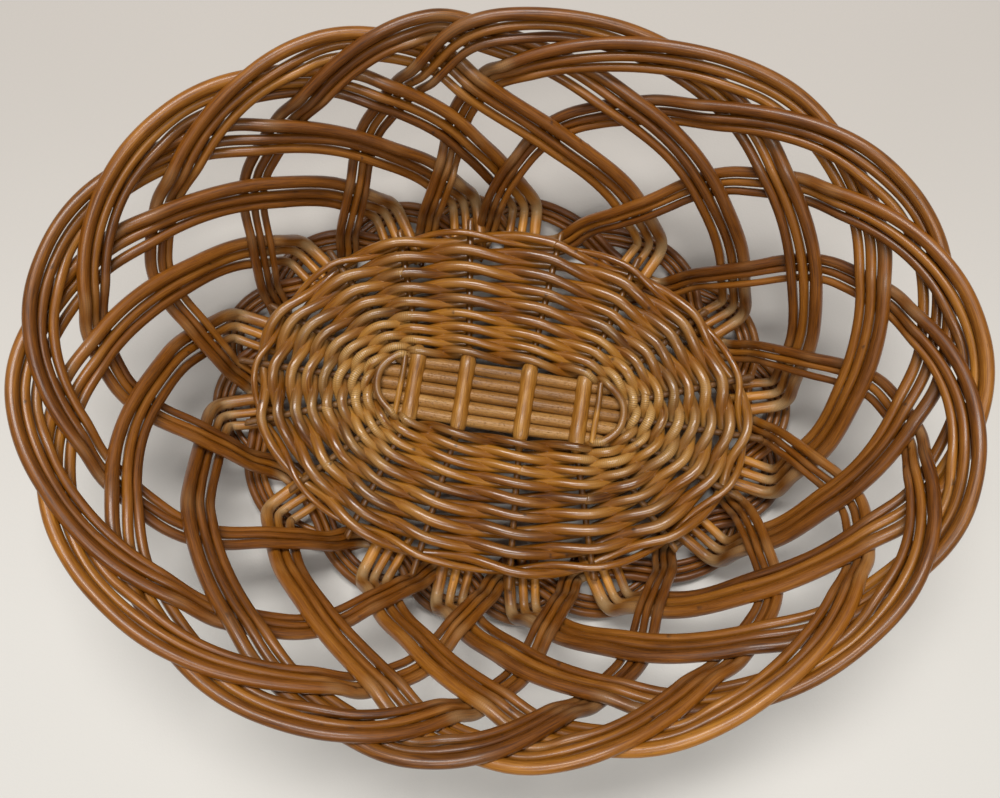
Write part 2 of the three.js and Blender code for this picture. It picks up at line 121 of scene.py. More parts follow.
def willow_piece(name, line, thickness, finish, seed, upward=(0, 0, 1), sides=12, ages=(0, 1),
                 knot_gap=60, slant=(0.3, -0.3), tone=None):
    """One willow rod as a closed tube along line, with knots, slight unevenness and two cut ends.

    It keeps what the finish needs at every point: grain is the place in the straight rod in mm,
    age runs from the thick end to the tip, tone is the rod's own shade, bend is where it is
    kinked, and knot is where a bud was."""
    rng = np.random.default_rng(seed)
    count = len(line)
    gaps = np.linalg.norm(np.diff(line, axis=0), axis=1)
    along = np.r_[0, np.cumsum(gaps)]
    thickness = np.broadcast_to(np.asarray(thickness, float), (count,))
    forward = unit(np.gradient(line, axis=0))
    upward = np.broadcast_to(np.asarray(upward, float), (count, 3))
    across = unit(np.cross(upward, forward))
    up = np.cross(forward, across)

    turning = np.linalg.norm(np.gradient(forward, axis=0), axis=1) / np.gradient(along)
    bend = np.clip(turning * thickness * 1.6 - 0.12, 0, 1)
    bend = np.convolve(np.pad(bend, 2, mode="edge"), np.full(5, 0.2), mode="valid")

    angle = np.arange(sides) * 2 * math.pi / sides
    knot = np.zeros((count, sides))
    for _ in range(rng.poisson(along[-1] / knot_gap)):
        place, facing = rng.uniform(0, along[-1]), rng.uniform(0, 2 * math.pi)
        turn = (angle - facing + math.pi) % (2 * math.pi) - math.pi
        size = rng.uniform(0.9, 1.7)
        knot += np.exp(-((along[:, None] - place) / size) ** 2 - (turn[None] / 0.5) ** 2)
    radius = thickness / 2 * (1 + 0.03 * drift(rng, along, 38))
    radius = radius[:, None] * (1 + 0.07 * np.clip(knot, 0, 1))
    radius = radius * (1 + 0.02 * np.cos(2 * angle + rng.uniform(0, 6))[None])
    spread = across[:, None] * np.cos(angle)[None, :, None] + up[:, None] * np.sin(angle)[None, :, None]
    offset = spread * radius[..., None]
    rings = line[:, None] + offset

    caps = []
    for end, way, lean in ((0, -1, slant[0]), (-1, 1, slant[1])):
        shift = offset[end] @ across[end] * lean
        rings[end] += forward[end] * shift[:, None]
        lip = rings[end] + forward[end] * way * 0.1 * thickness[end] - offset[end] * 0.16
        caps.append((lip, line[end] + forward[end] * way * 0.1 * thickness[end]))
    points = np.vstack([rings.reshape(-1, 3), caps[0][0], caps[0][1], caps[1][0], caps[1][1]])

    ring = np.arange(sides)
    after = (ring + 1) % sides
    quads = []
    for row in range(count - 1):
        low, high = row * sides, (row + 1) * sides
        quads.append(np.stack([low + ring, low + after, high + after, high + ring], 1))
    first, last = count * sides, (count + 1) * sides + 1
    end_row = (count - 1) * sides
    quads.append(np.stack([first + ring, first + after, after, ring], 1))
    quads.append(np.stack([end_row + ring, end_row + after, last + after, last + ring], 1))
    start_cap = np.stack([np.full(sides, first + sides), first + after, first + ring], 1)
    end_cap = np.stack([np.full(sides, last + sides), last + ring, last + after], 1)
    faces = [*np.vstack(quads).tolist(), *start_cap.tolist(), *end_cap.tolist()]

    mesh = bpy.data.meshes.new(name)
    mesh.from_pydata(points * MM, [], faces)
    mesh.materials.append(finish)
    mesh.materials.append(cut_willow)
    cut = np.zeros(len(faces), np.int32)
    cut[-2 * sides:] = 1
    mesh.polygons.foreach_set("material_index", cut)
    mesh.polygons.foreach_set("use_smooth", cut == 0)

    far = rng.uniform(0, 900)
    lengthwise = np.broadcast_to((along + far)[:, None], (count, sides))
    grain = np.stack([lengthwise, radius * np.cos(angle), radius * np.sin(angle)], 2)
    share = np.interp(np.linspace(0, 1, count), np.linspace(0, 1, len(ages)), ages)[:, None]

    def keep(label, values):
        """Stores a value at each point of the tube, its two lips and the middles of its cut ends."""
        kind, field = ("FLOAT_VECTOR", "vector") if values.ndim == 3 else ("FLOAT", "value")
        flat = values.reshape(-1, *values.shape[2:])
        middle = [values[0].mean(0, keepdims=True), values[-1].mean(0, keepdims=True)]
        full = np.concatenate([flat, values[0], middle[0], values[-1], middle[1]])
        mesh.attributes.new(label, kind, "POINT").data.foreach_set(field, full.ravel().astype(np.float32))

    own_tone = rng.uniform(0, 1) if tone is None else tone
    keep("grain", grain)
    keep("age", np.broadcast_to(share, (count, sides)))
    keep("tone", np.full((count, sides), own_tone))
    keep("bend", np.broadcast_to(bend[:, None], (count, sides)))
    keep("knot", np.clip(knot, 0, 1))
    mesh.validate()
    piece = bpy.data.objects.new(name, mesh)
    bpy.context.scene.collection.objects.link(piece)
    return piece


def shade(red, green, blue):
    """A colour as the eye names it, 0 to 255, for a shader."""
    parts = [value / 255 for value in (red, green, blue)]
    return (*[p / 12.92 if p <= 0.04045 else ((p + 0.055) / 1.055) ** 2.4 for p in parts], 1.0)


def put(tree, kind, inputs, **settings):
    """Adds a node, with each input set to a value or joined to another node's output."""
    made = tree.nodes.new(kind)
    for name, value in settings.items():
        setattr(made, name, value)
    for socket, value in inputs.items():
        if isinstance(value, bpy.types.NodeSocket):
            tree.links.new(value, made.inputs[socket])
        else:
            made.inputs[socket].default_value = value
    return made


def math_node(tree, operation, first, second=0.0, clamp=False):
    return put(tree, "ShaderNodeMath", {0: first, 1: second}, operation=operation, use_clamp=clamp).outputs[0]


def band(tree, value, low, high):
    """0 below low, 1 above high, and smooth between."""
    ramp = put(tree, "ShaderNodeMapRange", {"Value": value, "From Min": low, "From Max": high},
               interpolation_type="SMOOTHSTEP")
    return ramp.outputs["Result"]


def blend_colour(tree, share, one, other, way="MIX"):
    made = put(tree, "ShaderNodeMix", {0: share, 6: one, 7: other}, data_type="RGBA", blend_type=way)
    return made.outputs[2]


def build_willow_grain():
    """Colour, roughness and relief of peeled willow: streaks along the rod, cloudy patches, small
    dark specks, darkened pits, bud knots, and pale wrinkled skin where the rod is kinked, with painted
    shade in its furrows. By age it tints the thick end, paints light onto the part along the rim, and
    tints the part past that, which on the base sticks is painted shade under the weaving."""
    group = bpy.data.node_groups.new("willow_grain", "ShaderNodeTree")
    sockets = group.interface
    sockets.new_socket("Grain", in_out="INPUT", socket_type="NodeSocketVector")
    for label in ("Age", "Tone", "Bend", "Knot"):
        sockets.new_socket(label, in_out="INPUT", socket_type="NodeSocketFloat")
    for label in ("Dark", "Middle", "Light", "Bruised", "Speck", "Butt", "Rim_painted_light", "Old"):
        sockets.new_socket(label, in_out="INPUT", socket_type="NodeSocketColor")
    for label in ("Streaks", "Clouds", "Shades", "Specks", "Pits", "Wrinkles", "Roughness"):
        sockets.new_socket(label, in_out="INPUT", socket_type="NodeSocketFloat")
    sockets.new_socket("Color", in_out="OUTPUT", socket_type="NodeSocketColor")
    sockets.new_socket("Roughness", in_out="OUTPUT", socket_type="NodeSocketFloat")
    sockets.new_socket("Height", in_out="OUTPUT", socket_type="NodeSocketFloat")
    given = group.nodes.new("NodeGroupInput").outputs

    def noise(stretch, detail):
        scaled = put(group, "ShaderNodeVectorMath", {0: given["Grain"], 1: stretch}, operation="MULTIPLY")
        made = put(group, "ShaderNodeTexNoise",
                   {"Vector": scaled.outputs[0], "Scale": 1.0, "Detail": detail, "Roughness": 0.6})
        return made.outputs["Fac"]

    def centred(value, amount):
        return math_node(group, "MULTIPLY", math_node(group, "SUBTRACT", value, 0.5), amount)

    streak = noise((0.09, 2.4, 2.4), 3.0)
    fibre = noise((0.35, 7.0, 7.0), 2.0)
    cloud = noise((0.028, 0.22, 0.22), 2.0)
    spot = noise((0.75, 2.2, 2.2), 1.0)
    pit = noise((0.9, 1.6, 1.6), 2.0)

    level = math_node(group, "ADD", 0.5, centred(streak, given["Streaks"]))
    level = math_node(group, "ADD", level, centred(cloud, given["Clouds"]))
    level = math_node(group, "ADD", level, centred(fibre, 0.35))
    level = math_node(group, "ADD", level, centred(given["Tone"], given["Shades"]))
    lower = math_node(group, "MULTIPLY", level, 2.0, clamp=True)
    upper = math_node(group, "MULTIPLY", math_node(group, "SUBTRACT", level, 0.5), 2.0, clamp=True)
    colour = blend_colour(group, lower, given["Dark"], given["Middle"])
    colour = blend_colour(group, upper, colour, given["Light"])
    at_butt = math_node(group, "SUBTRACT", 1.0, band(group, given["Age"], 0.035, 0.10))
    colour = blend_colour(group, at_butt, colour, blend_colour(group, 1.0, colour, given["Butt"], "MULTIPLY"))
    # Along the rim the rim tint lightens the rod: painted light, for the up-facing rim rods catching the
    # light from above.
    rim_light_mask = math_node(group, "MULTIPLY", band(group, given["Age"], 0.24, 0.36),
                       math_node(group, "SUBTRACT", 1.0, band(group, given["Age"], 0.40, 0.5)))
    colour = blend_colour(group, rim_light_mask, colour, blend_colour(group, 1.0, colour, given["Rim_painted_light"], "MULTIPLY"))
    # Past that the last tint colours the rod. On the base sticks, whose age is high where the weaving covers
    # them, it is painted shade under the weaving.
    far_part = band(group, given["Age"], 0.45, 0.62)
    colour = blend_colour(group, far_part, colour, blend_colour(group, 1.0, colour, given["Old"], "MULTIPLY"))

    wave = put(group, "ShaderNodeTexWave",
               {"Vector": given["Grain"], "Scale": 0.36, "Distortion": 1.2, "Detail": 1.0,
                "Detail Scale": 1.5},
               wave_type="BANDS", bands_direction="X", wave_profile="SIN").outputs["Fac"]
    kinked = math_node(group, "MULTIPLY", given["Bend"], band(group, cloud, 0.25, 0.6), clamp=True)
    creased = math_node(group, "MULTIPLY", kinked, given["Wrinkles"], clamp=True)
    colour = blend_colour(group, math_node(group, "MULTIPLY", creased, 0.75), colour, given["Bruised"])
    # The furrows between the wrinkles are darkened as well as sunk: painted shade in the creases.
    furrow = math_node(group, "MULTIPLY", creased, math_node(group, "SUBTRACT", 1.0, wave))
    colour = blend_colour(group, math_node(group, "MULTIPLY", furrow, 0.55), colour, given["Dark"])

    speckled = math_node(group, "MULTIPLY", band(group, spot, 0.70, 0.76), given["Specks"], clamp=True)
    budded = math_node(group, "MULTIPLY", band(group, given["Knot"], 0.25, 0.9), 0.75)
    marked = math_node(group, "MAXIMUM", speckled, budded)
    colour = blend_colour(group, marked, colour, given["Speck"])

    pitted = math_node(group, "MULTIPLY", band(group, pit, 0.55, 0.68), given["Pits"])
    # The pits are darker in colour as well as sunk in the relief.
    pit_darkening = math_node(group, "MULTIPLY", pitted, 0.55, clamp=True)
    colour = blend_colour(group, pit_darkening, colour, given["Dark"])

    height = math_node(group, "MULTIPLY", streak, 0.35)
    height = math_node(group, "ADD", height, math_node(group, "MULTIPLY", fibre, 0.12))
    height = math_node(group, "SUBTRACT", height, pitted)
    height = math_node(group, "SUBTRACT", height, math_node(group, "MULTIPLY", furrow, 1.6))
    height = math_node(group, "SUBTRACT", height, math_node(group, "MULTIPLY", speckled, 0.3))
    rough = math_node(group, "ADD", given["Roughness"], centred(cloud, 0.22))
    rough = math_node(group, "ADD", rough, math_node(group, "MULTIPLY", creased, 0.15))
    rough = math_node(group, "ADD", rough, math_node(group, "MULTIPLY", marked, 0.2), clamp=True)
    put(group, "NodeGroupOutput", {"Color": colour, "Roughness": rough, "Height": height})
    return group


willow_grain = build_willow_grain()


def willow_finish(name, colours, strengths, coat, relief=0.12, butt=(1, 1, 1), rim=(1, 1, 1), far_tint_and_shade=(1, 1, 1)):
    """A varnished willow material. Colours are dark, middle, light, bruised and speck. Butt tints
    the thick end of a rod, the rim tint lightens its part along the rim as painted light, and the last
    tint colours the part past that, which on the base sticks is painted shade where the weaving covers them."""
    material = bpy.data.materials.new(name)
    material.use_nodes = True
    tree = material.node_tree
    tree.nodes.clear()
    grain = put(tree, "ShaderNodeGroup", {}, node_tree=willow_grain)
    for label in ("Grain", "Age", "Tone", "Bend", "Knot"):
        stored = put(tree, "ShaderNodeAttribute", {}, attribute_name=label.lower())
        tree.links.new(stored.outputs["Vector" if label == "Grain" else "Fac"], grain.inputs[label])
    for label, colour in zip(("Dark", "Middle", "Light", "Bruised", "Speck"), colours):
        grain.inputs[label].default_value = colour
    grain.inputs["Butt"].default_value = (*butt, 1)
    grain.inputs["Rim_painted_light"].default_value = (*rim, 1)
    grain.inputs["Old"].default_value = (*far_tint_and_shade, 1)
    for label, strength in strengths.items():
        grain.inputs[label].default_value = strength
    bump = put(tree, "ShaderNodeBump", {"Height": grain.outputs["Height"], "Strength": 0.9,
                                        "Distance": relief * MM})
    skin = put(tree, "ShaderNodeBsdfPrincipled", {
        "Base Color": grain.outputs["Color"], "Roughness": grain.outputs["Roughness"],
        "Normal": bump.outputs[0], "Coat Weight": coat, "Coat Roughness": 0.17, "IOR": 1.46})
    put(tree, "ShaderNodeOutputMaterial", {"Surface": skin.outputs[0]})
    return material


def build_cut_willow():
    """Sawn and clipped ends: dry pale wood, with a darker edge of skin and fine fibres."""
    material = bpy.data.materials.new("cut_willow")
    material.use_nodes = True
    tree = material.node_tree
    tree.nodes.clear()
    grain = put(tree, "ShaderNodeAttribute", {}, attribute_name="grain").outputs["Vector"]
    scaled = put(tree, "ShaderNodeVectorMath", {0: grain, 1: (0.4, 2.6, 2.6)}, operation="MULTIPLY")
    fibre = put(tree, "ShaderNodeTexNoise", {"Vector": scaled.outputs[0], "Scale": 1.0, "Detail": 3.0})
    wood = blend_colour(tree, fibre.outputs["Fac"], shade(150, 108, 60), shade(222, 186, 132))
    bump = put(tree, "ShaderNodeBump", {"Height": fibre.outputs["Fac"], "Strength": 0.6,
                                        "Distance": 0.15 * MM})
    skin = put(tree, "ShaderNodeBsdfPrincipled", {"Base Color": wood, "Roughness": 0.75,
                                                  "Normal": bump.outputs[0]})
    put(tree, "ShaderNodeOutputMaterial", {"Surface": skin.outputs[0]})
    return material


cut_willow = build_cut_willow()


def open_half(place, a, b):
    """Half width of the unwoven middle at a place along it."""
    return b * (1 - (abs(place) / a) ** OPEN_CORNER) ** (1 / OPEN_CORNER)


def stick_run(x, y, end_angle):
    """Half a base stick: its mouth at the unwoven middle, and where it meets the base edge."""
    turn = math.radians(end_angle)
    end = np.array([EDGE_A * math.cos(turn), EDGE_B * math.sin(turn)])
    return {"mouth": np.array([x, y]), "end": end, "angle": end_angle % 360}


def stick_line(runs, inner, stub, step=1.6):
    """A whole base stick through inner points, thinning past each mouth: line, thickness, age."""
    far, near = runs

    def half(run, past):
        way = unit(run["end"] - run["mouth"])
        places = [(run["mouth"] + way * 7, STICK_LOW, STICK_TIP),
                  (run["mouth"] + way * 20, STICK_SAG, STICK_TIP),
                  (run["end"] + way * past, STICK_SAG, STICK_TIP)]
        return [(*place, up, size) for place, up, size in places]

    points = half(far, stub[0])[::-1] + inner + half(near, stub[1])
    line = smooth_line(points, step)
    thick = inner[0][3]
    # Where the weaving hides the stick its age rises to the covered one, which the material darkens as
    # painted shade.
    hidden = np.clip((thick - line[:, 3]) / (thick - STICK_TIP), 0, 1)
    return on_base(line[:, :3]), line[:, 3], hidden * (PEELED_AGE[1] - PEELED_AGE[0]) + PEELED_AGE[0]


# Past the open middle these sticks are darkened by the last tint: painted shade under the weaving.
pitted_willow = willow_finish(
    "pitted_willow",
    [shade(92, 56, 16), shade(154, 106, 46), shade(190, 146, 82), shade(214, 178, 124), shade(50, 28, 8)],
    {"Streaks": 1.0, "Clouds": 0.9, "Shades": 0.3, "Specks": 0.8, "Pits": 0.8, "Wrinkles": 0.3,
     "Roughness": 0.5}, coat=0.1, relief=0.22, far_tint_and_shade=(0.5, 0.45, 0.4))

long_runs = []
for row, angle in enumerate(LONG_ENDS):
    y = (row - 2) * LONG_PITCH
    x = open_half(y, OPEN_B, OPEN_A)
    runs = [stick_run(-x, y, 180 - angle), stick_run(x, y, angle)]
    long_runs.append(runs)
    stubs = [2.5 + (row * 37 % 5), 3 + (row * 23 % 4)]
    middle = [(spot, y, STICK_LOW, LONG_STICK) for spot in (-x, -x / 3, x / 3, x)]
    line, thickness, ages = stick_line(runs, middle, stubs)
    stick = willow_piece(f"long_stick_willow_{row + 1}", line, thickness, pitted_willow, 100 + row,
                         sides=16, knot_gap=90, ages=ages)
    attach(stick, "root")
    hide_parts(f"long_stick_{row + 1}")

# ==== Cross sticks ==============================================================================
# Four thicker willow sticks, each split in the middle so that the five lengthwise sticks can be
# threaded through it. They are smooth and golden, with the grain showing along them.

CROSS_STICK = 8.4
SPLIT_LIFT = 1.8                      # a split stick bows up over the sticks threaded through it
CROSS_PLACES = [(42, 63), (13, 82), (-19.5, 103), (-45.5, 120)]

# The last tint darkens the covered parts of the cross sticks, painted shade under the weaving, and the
# further half of each tie stick.
golden_willow = willow_finish(
    "golden_willow",
    [shade(90, 50, 8), shade(156, 102, 30), shade(200, 150, 72), shade(214, 172, 104), shade(54, 28, 8)],
    {"Streaks": 1.5, "Clouds": 0.8, "Shades": 0.3, "Specks": 0.5, "Pits": 0.15, "Wrinkles": 0.4,
     "Roughness": 0.38}, coat=0.25, relief=0.14, far_tint_and_shade=(0.5, 0.45, 0.4))

cross_runs = []
half_split = 2.5 * LONG_PITCH
for index, (x, angle) in enumerate(CROSS_PLACES):
    y = open_half(x, OPEN_A, OPEN_B)
    runs = [stick_run(x, -y, -angle), stick_run(x, y, angle)]
    cross_runs.append(runs)
    middle = [(x, half_split * part, SPLIT_LIFT, CROSS_STICK) for part in (-1, -1 / 3, 1 / 3, 1)]
    line, thickness, ages = stick_line(runs, middle, [3 + index % 3 * 2, 5 - index % 2 * 2])
    stick = willow_piece(f"cross_stick_willow_{index + 1}", line, thickness, golden_willow, 120 + index,
                         sides=20, knot_gap=120, ages=ages)
    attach(stick, "root")
    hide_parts(f"cross_stick_{index + 1}")

# ==== Tie sticks ================================================================================
# A thin golden stick lies on top of the lengthwise ones at each end of the unwoven middle, next
# to the last cross stick, with both ends tucked under the first row of weaving.

TIE_STICK = 3.0
TIE_LIFT = (LONG_STICK + TIE_STICK) / 2 + 0.1
TIE_REACH = 2 * LONG_PITCH + 2.2      # from its middle to each tucked end

for side, x in (("left", -52.0), ("right", 50.0)):
    line = smooth_line([(x - 0.4, -TIE_REACH, TIE_LIFT - 0.6), (x, -4, TIE_LIFT),
                        (x + 0.3, 6, TIE_LIFT), (x, TIE_REACH, TIE_LIFT - 0.4)], 1.2)
    tie = willow_piece(f"tie_willow_{side}", on_base(line), TIE_STICK, golden_willow,
                       140 + int(x), sides=12, knot_gap=200, tone=0.9)
    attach(tie, "root")
    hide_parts(f"tie_stick_{side}")

# ==== Base weaving ==============================================================================
# Eight rows of pairing: in each row two glossy weavers twist round each other and take every
# base stick between them. The weavers get thicker, and the rows wider, towards the edge. The
# first row binds each fan of lengthwise sticks together.

ROW_COUNT = 8
ROW_GROWTH = 1.6                      # width of the last row against the first
INNER_WEAVER, OUTER_WEAVER = 4.4, 5.9 # thickness in the first row and in the last
WEAVER_TAPER = 0.35                   # thicker than that at its butt, and thinner at its tip
TWIST_REACH = 0.30                    # sideways swing of a weaver against its own thickness
SIDE_BY_SIDE = -0.1                   # below 0, a pair twists slower at a stick than between two
SQUEEZE = 0.9                         # how far the twist presses the weavers onto a stick
FIRST_ROW_GAP, OUTER_ROW_WIDTH = -0.4, 8.4
CORNER = 9.0                          # length over which a row rounds a stick
ROW_STEP = 0.9                        # distance between the points of a weaver

all_runs = [run for pair in long_runs + cross_runs for run in pair]
all_runs.sort(key=lambda run: run["angle"])
STICKS = len(all_runs)
in_fan = [any(run is other for pair in long_runs for other in pair) for run in all_runs]
run_length = EDGE_A - OPEN_A
row_start = FIRST_ROW_GAP / run_length
rows_span = 1 - row_start - OUTER_ROW_WIDTH / run_length

glossy_willow = willow_finish(
    "glossy_willow",
    [shade(68, 32, 3), shade(130, 76, 10), shade(168, 112, 30), shade(214, 172, 104), shade(34, 16, 3)],
    {"Streaks": 1.2, "Clouds": 0.9, "Shades": 0.6, "Specks": 0.6, "Pits": 0.0, "Wrinkles": 1.0,
     "Roughness": 0.30}, coat=0.6, relief=0.12)


def row_line(share, twists, start, reach, rise, lead=0, shift=0.0):
    """Centre line of one weaver round the whole base. It starts under a stick, and twists is how
    many half turns the pair makes in each gap."""
    spots = np.array([run["mouth"] + (run["end"] - run["mouth"]) * share for run in all_runs])
    order = [(start + k) % STICKS for k in range(STICKS + 2)]
    corners = spots[order]
    halves = np.r_[0, np.cumsum([twists[k] for k in order[:-1]])]
    dense, phase = [], []
    for k in range(len(corners) - 1):
        t = np.linspace(0, 1, 40)[:-1]
        dense.append(corners[k] + (corners[k + 1] - corners[k]) * t[:, None])
        eased = t + SIDE_BY_SIDE * np.sin(2 * np.pi * t) / 2 / np.pi
        phase.append(halves[k] + (halves[k + 1] - halves[k]) * eased)
    flat = np.column_stack([np.vstack(dense), np.zeros(39 * (len(corners) - 1)), np.concatenate(phase)])
    flat = even_line(flat, ROW_STEP)
    width = int(CORNER / ROW_STEP)
    window = np.hanning(2 * width + 3)[1:-1]
    window /= window.sum()
    rounded = [np.convolve(np.pad(c, width, mode="edge"), window, mode="valid") for c in flat.T[:2]]
    plan = np.stack(rounded, 1)
    turn = np.pi * (flat[:, 3] + lead)
    forward = unit(np.gradient(plan, axis=0))
    outward = np.stack([forward[:, 1], -forward[:, 0]], 1)
    plan = plan + outward * (reach * np.sin(turn) + shift)[:, None]
    keep = flat[:, 3] <= halves[STICKS] + 0.12
    return np.column_stack([plan, rise * np.cos(turn)])[keep]


def weaver(name, line, butt, tip, seed, finish, wander=0.28, tone=None):
    """One weaver laid along a row: it wanders a little, as the hand that wove it did."""
    rng = np.random.default_rng(seed)
    along = np.linspace(0, len(line) * ROW_STEP, len(line))
    forward = unit(np.gradient(line, axis=0))
    outward = unit(np.cross(forward, (0, 0, 1)))
    line = line + outward * (wander * drift(rng, along, 46))[:, None]
    line[:, 2] += 0.15 * drift(rng, along, 30)
    size = np.linspace(butt, tip, len(line)) * rng.uniform(0.95, 1.05)
    piece = willow_piece(name, on_base(line), size, finish, seed, sides=12, knot_gap=70, tone=tone)
    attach(piece, "root")
    return piece


def rows_within(row):
    """How much of the weaving lies inside a row, counted in widths of the first row."""
    return row * (1 + (ROW_GROWTH - 1) * (row - 1) / 2 / (ROW_COUNT - 1))


for row in range(ROW_COUNT):
    share = row_start + rows_span * (rows_within(row) + rows_within(row + 1)) / 2 / rows_within(ROW_COUNT)
    twists = [1] * STICKS
    size = INNER_WEAVER + (OUTER_WEAVER - INNER_WEAVER) * row / (ROW_COUNT - 1)
    rise = (STICK_TIP + size) / 2 - SQUEEZE
    if row == 0:
        twists = [0 if in_fan[k] and in_fan[(k + 1) % STICKS] else 1 for k in range(STICKS)]
        rise = (LONG_STICK + size) / 2
    for strand, label in enumerate("ab"):
        start = (7 * row + 5 * strand) % STICKS
        if row == 0:
            start = 3 + 9 * strand
        lead = (sum(twists[:start]) + strand) % 2
        line = row_line(share, twists, start, TWIST_REACH * size, rise, lead)
        piece = weaver(f"weaver_{row + 1:02d}{label}", line, size + WEAVER_TAPER, size - WEAVER_TAPER,
                       200 + 10 * row + strand, glossy_willow)
        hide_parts(f"weave_row_{row + 1:02d}")

# ==== Outer row =================================================================================
# The last row of the base is a pair as well: one stout weaver, and one slimmer one that runs
# outside it along the edge and holds down the thick ends of the side rods.

OUTER_REACH, OUTER_RISE = 2.3, 3.7    # swing of the last pair sideways, and up and down
OUTER_PAIR = [("stout", 5.4, 4.6, -0.2), ("slim", 3.9, 3.2, 0.5)]   # butt, tip and shift outwards

outer_share = 1 - OUTER_ROW_WIDTH / 2 / run_length
for strand, (label, butt, tip, shift) in enumerate(OUTER_PAIR):
    start = 4 + 8 * strand
    line = row_line(outer_share, [1] * STICKS, start, OUTER_REACH, OUTER_RISE,
                    (start + strand) % 2, shift)
    piece = weaver(f"outer_weaver_{label}", line, butt, tip, 320 + strand, glossy_willow, wander=0.35)
    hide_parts("outer_row")

# ==== Side rods =================================================================================
# Sixteen groups of three willow rods. Each leaves the base by its thick ends, kinks up, weaves
# through the other groups to arch over as the rim, comes down again beside the next group, and
# ends as a loop of the foot under the base. They are varnished orange brown.

GROUP_ANGLES = [14, 39, 63, 91, 104, 121, 144, 170, 196, 225, 250, 266, 281, 300, 326, 349]
GROUPS = len(GROUP_ANGLES)
SPAN = 5.6                            # group spacings from leaving the base to coming back to it
FOOT_FLAT, FOOT_END = 7.12, 7.9       # the last stretch, flat on the floor
ROD_BUTT, ROD_TAPER = 5.0, 0.23
ROD_GAP = 0.5
FOOT_REACH = 25.0
WALL_OUT = 8.0
OUTER_ROD, INNER_ROD = 1.25, 0.95     # thickness of the outer rod and of the other two
RIM_ROOM = 3.2                        # kept free at the rim for the swings of the rods

base_up = base_centre[2]
lift = (ROD_BUTT + ROD_GAP) / 2


def rod_at(turn):
    return ROD_BUTT - ROD_TAPER * np.clip(turn, 0, FOOT_FLAT)


group_width = 3 * rod_at(SPAN / 2)
rim_proud = 0.9 * lift + rod_at(SPAN / 2) / 2 + RIM_ROOM
box_a, box_b, box_top = (high / MM for high in cad_box[1])
rim_a, rim_b, rim_up = box_a - rim_proud, box_b - rim_proud, box_top - group_width * 0.46
foot_low = rod_at(FOOT_END) / 2
foot_high = rod_at(7.4) + 0.4 + rod_at(6) / 2
butt_up = foot_high + rod_at(5.6) / 2 + 0.3 + ROD_BUTT / 2


def group_angle(number):
    """Angle round the oval at a fractional group number, smooth through the sixteen starts."""
    number = np.asarray(number, float)
    whole = np.floor(number).astype(int)
    starts = np.array(GROUP_ANGLES)

    def start(index):
        return starts[index % GROUPS] + 360.0 * np.floor_divide(index, GROUPS)

    p0, p1, p2, p3 = (start(whole + k) for k in (-1, 0, 1, 2))
    t = number - whole
    slope1, slope2, rise = (p2 - p0) / 2, (p3 - p1) / 2, p2 - p1
    curve = 3 * rise - 2 * slope1 - slope2 + t * (slope1 + slope2 - 2 * rise)
    return np.radians(p1 + t * (slope1 + t * curve))


def oval(angle, a, b, up, turned):
    """Points on the oval of half sizes a and b, turned by a share of the base's own turn."""
    angle, a, b, up, turned = np.broadcast_arrays(angle, a, b, up, turned)
    x, y, turn = a * np.cos(angle), b * np.sin(angle), BASE_TURN * turned
    points = np.stack([x * np.cos(turn) - y * np.sin(turn), x * np.sin(turn) + y * np.cos(turn), up], -1)
    return points + np.array([base_centre[0], base_centre[1], 0])


CROWN = 0.12                          # roundness of the top of a group's arch
ARCH, FULLNESS = 1.3, 0.75            # how gently it leaves the rim, how steeply the base
LANDING, UNDERSHOOT = 0.67, 0.07      # share lost per spacing near the base, and how far past it


def wall_share(turn):
    """Height up the wall, 0 at the base and 1 at the rim, after some spacings of travel."""
    soften = lambda x: np.sqrt(x * x + CROWN * CROWN) - CROWN
    fall = soften(1 - turn / (SPAN / 2)) / soften(1)
    arch = np.maximum(1 - fall ** ARCH, 0) ** FULLNESS
    left = np.clip(SPAN - turn, 0, None)
    late = np.clip((1.2 - left) / 0.6, 0, 1)
    straight = np.minimum(arch, LANDING * left - UNDERSHOOT)
    return arch + (straight - arch) * late * late * (3 - 2 * late)


def wall_point(angle, share):
    mix = lambda low, high: low + (high - low) * share
    return oval(angle, mix(EDGE_A + WALL_OUT, rim_a), mix(EDGE_B + WALL_OUT, rim_b),
                mix(base_up + 2, rim_up), 1 - share)


def wall_face(angle, share):
    """Which way the wall faces, outwards."""
    nudge = 0.01
    round_way = wall_point(angle + nudge, share) - wall_point(angle - nudge, share)
    climb = wall_point(angle, share + nudge) - wall_point(angle, share - nudge)
    return unit(np.cross(round_way, climb))


